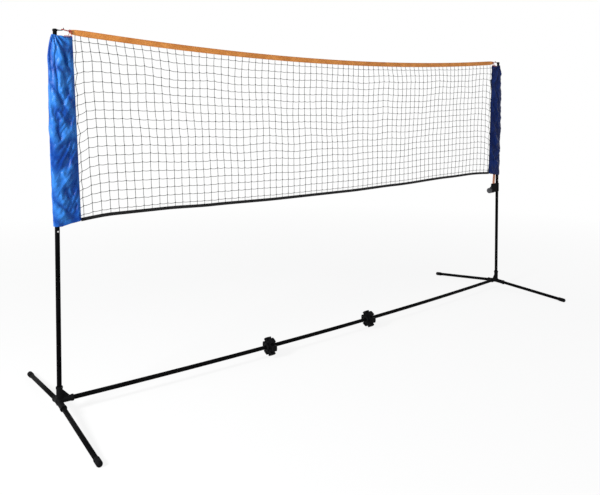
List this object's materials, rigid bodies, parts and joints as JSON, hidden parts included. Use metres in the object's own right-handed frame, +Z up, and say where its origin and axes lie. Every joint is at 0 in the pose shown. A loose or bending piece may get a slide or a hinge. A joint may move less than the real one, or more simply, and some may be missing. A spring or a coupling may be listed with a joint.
{
  "type": "mini volleyball net",
  "caption": "Free-standing net between two telescopic posts with side sleeves, on a low crossbar with splayed feet, locking nuts and a tension clamp.",
  "frame": {"origin": "on the floor, midway between the two posts", "axes": "+X from the left post to the right post, +Z up, -Y towards the side that the net is seen from"},
  "size_m": [3.0936, 0.9728, 1.5495],
  "materials": {
    "painted_tube": "satin",
    "moulded_black": "satin",
    "moulded_grey": "matte",
    "plain_steel": "satin",
    "blue_nylon": "satin",
    "orange_webbing": "matte",
    "black_webbing": "matte",
    "net_twine": "matte",
    "red_cord": "matte"
  },
  "bodies": {
    "base_frame": {"base_connector_left": "moulded_black", "base_connector_right": "moulded_black", "foot_tube_left_back": "painted_tube", "foot_tube_left_front": "painted_tube", "foot_tube_right_back": "painted_tube", "foot_tube_right_front": "painted_tube", "foot_cap_left_back": "moulded_black", "foot_cap_left_front": "moulded_black", "foot_cap_right_back": "moulded_black", "foot_cap_right_front": "moulded_black", "lower_post_left": "painted_tube", "lower_post_right": "painted_tube", "guide_bush_left": "moulded_black", "guide_bush_right": "moulded_black", "bar_tube_left": "painted_tube", "bar_tube_middle": "painted_tube", "bar_tube_right": "painted_tube", "bar_spigot_left": "plain_steel", "bar_spigot_right": "plain_steel", "joint_collet_left": "moulded_black", "joint_collet_right": "moulded_black"},
    "net_carriage": {"upper_post_left": "painted_tube", "upper_post_right": "painted_tube", "tube_end_bush_left": "moulded_black", "tube_end_bush_right": "moulded_black", "snap_spring_left": "plain_steel", "snap_spring_right": "plain_steel", "post_cap_left": "moulded_black", "post_cap_right": "moulded_black", "cap_hook_left": "plain_steel", "cap_hook_right": "plain_steel", "corner_loop_left": "red_cord", "corner_loop_right": "red_cord", "tape_eyelet_left": "plain_steel", "tape_eyelet_right": "plain_steel", "top_tape": "orange_webbing", "bottom_tape": "black_webbing", "net_mesh": "net_twine", "left_sleeve_front": "blue_nylon", "left_sleeve_back": "blue_nylon", "right_sleeve_front": "blue_nylon", "right_sleeve_back": "blue_nylon", "tension_strap": "orange_webbing", "post_clamp": "moulded_black"},
    "star_left": {"star_nut_left": "moulded_black"},
    "star_right": {"star_nut_right": "moulded_black"},
    "button_left": {"snap_button_left": "plain_steel"},
    "button_right": {"snap_button_right": "plain_steel"},
    "knob": {"clamp_knob": "moulded_grey", "clamp_screw": "plain_steel"}
  },
  "joints": [
    {"name": "height_slide", "type": "slide", "parent": "base_frame", "child": "net_carriage", "axis": [0, 0, 1], "range_m": [-0.54, 0]},
    {"name": "star_left_turn", "type": "hinge", "parent": "base_frame", "child": "star_left", "pos_m": [-0.481, -0.04934, 0.06], "axis": [0.9997, -0.0235, 0], "range_deg": [0, 120]},
    {"name": "star_right_turn", "type": "hinge", "parent": "base_frame", "child": "star_right", "pos_m": [0.203, -0.05399, 0.06], "axis": [1, 0.0099, 0], "range_deg": [0, 120]},
    {"name": "button_left_press", "type": "slide", "parent": "net_carriage", "child": "button_left", "axis": [0, 1, 0], "range_m": [0, 0.003], "stiffness_N_per_m": 300, "springref_m": -0.002},
    {"name": "button_right_press", "type": "slide", "parent": "net_carriage", "child": "button_right", "axis": [0, 1, 0], "range_m": [0, 0.003], "stiffness_N_per_m": 300, "springref_m": -0.002},
    {"name": "knob_turn", "type": "hinge", "parent": "net_carriage", "child": "knob", "pos_m": [1.5, 0, 0.676], "axis": [1, 0, 0], "continuous": true}
  ]
}
